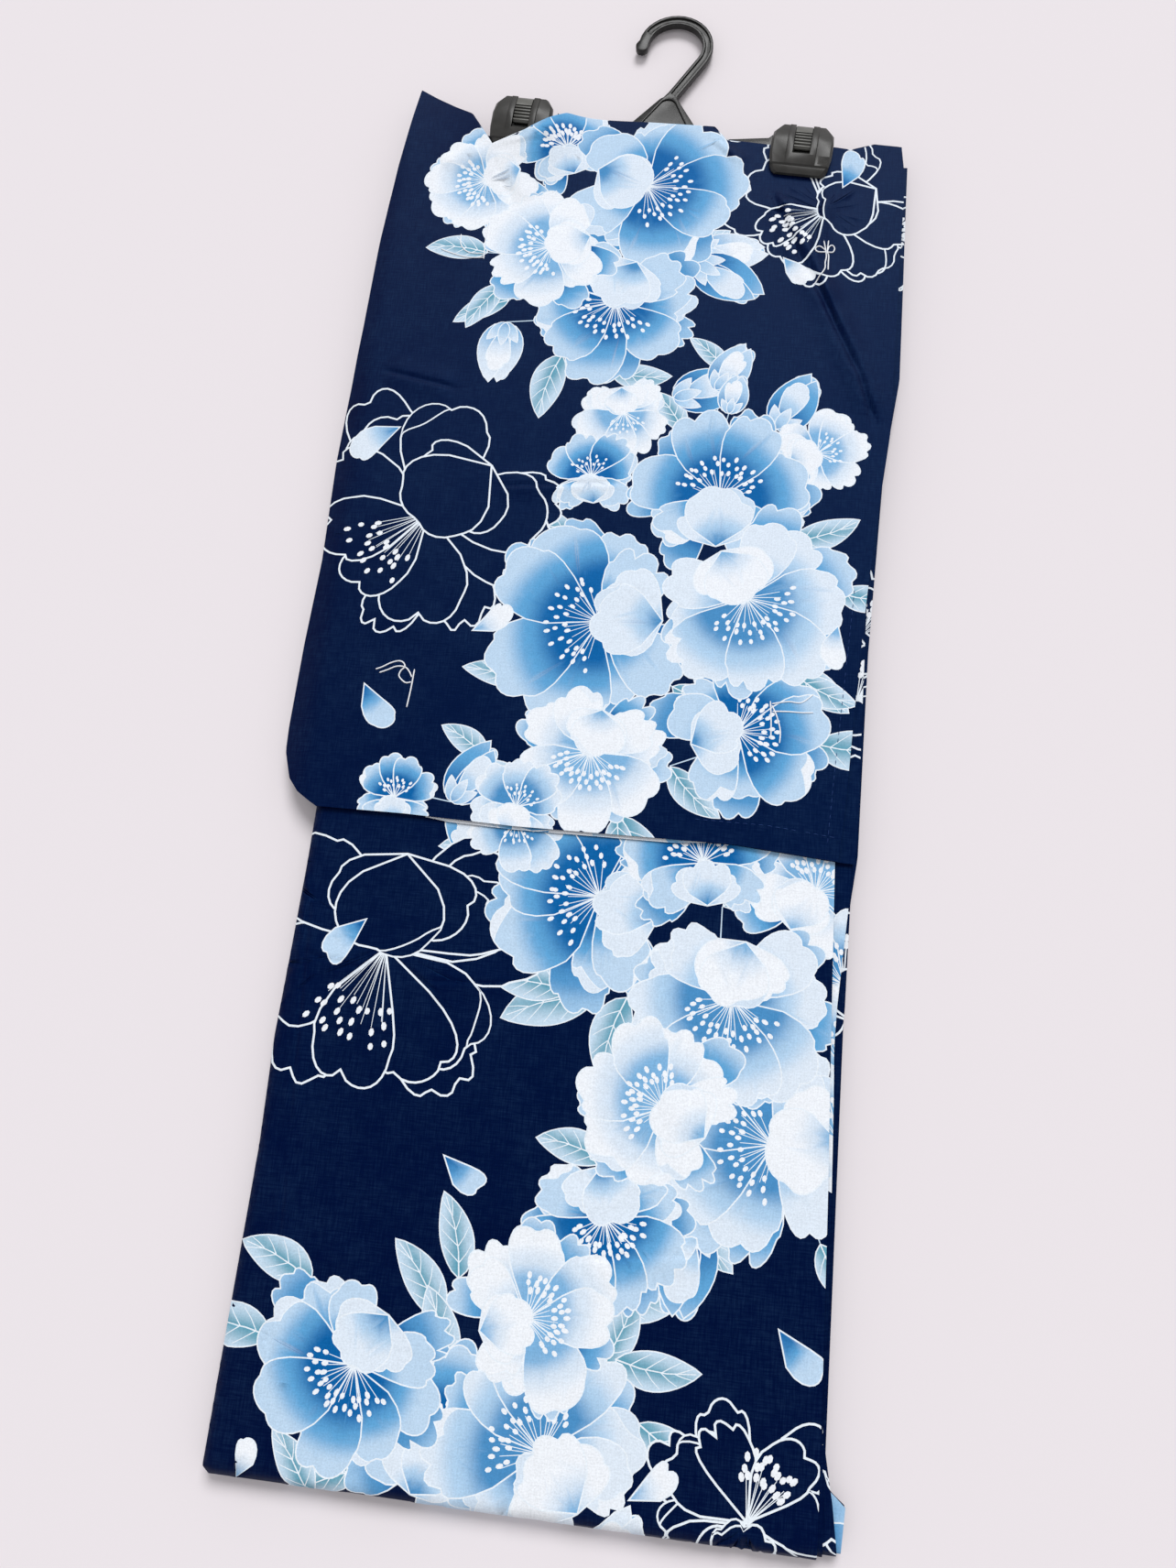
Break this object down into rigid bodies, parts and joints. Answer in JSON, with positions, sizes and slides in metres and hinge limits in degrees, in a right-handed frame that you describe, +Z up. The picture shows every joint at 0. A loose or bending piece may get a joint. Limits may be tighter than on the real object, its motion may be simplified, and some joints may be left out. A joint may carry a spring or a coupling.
{
  "type": "cotton yukata robe folded in a clip hanger",
  "caption": "Folded cotton yukata laid flat, its left sleeve on top, held at the shoulder by a plastic hanger with two clips and a hook.",
  "frame": {"origin": "bottom centre of the bounding box, on the surface that the folded robe lies on", "axes": "+Z up from the surface, +Y along the robe from its near fold to the hanger, +X to the right of someone facing the hanger"},
  "size_m": [0.3454, 0.924, 0.0227],
  "materials": {
    "printed_cotton": "plain-woven cotton with a soft dull sheen, navy with a blue and white flower print",
    "black_plastic": "satin moulded",
    "slider_plastic": "satin moulded, ribbed"
  },
  "bodies": {
    "root": {"left_body_panel": "printed_cotton", "right_body_panel": "printed_cotton", "left_sleeve": "printed_cotton", "folded_core": "printed_cotton", "hanger_frame": "black_plastic", "left_clip_back_jaw": "black_plastic", "left_clip_front_jaw": "black_plastic", "left_clip_slider": "slider_plastic", "right_clip_back_jaw": "black_plastic", "right_clip_front_jaw": "black_plastic", "right_clip_slider": "slider_plastic"}
  },
  "joints": []
}
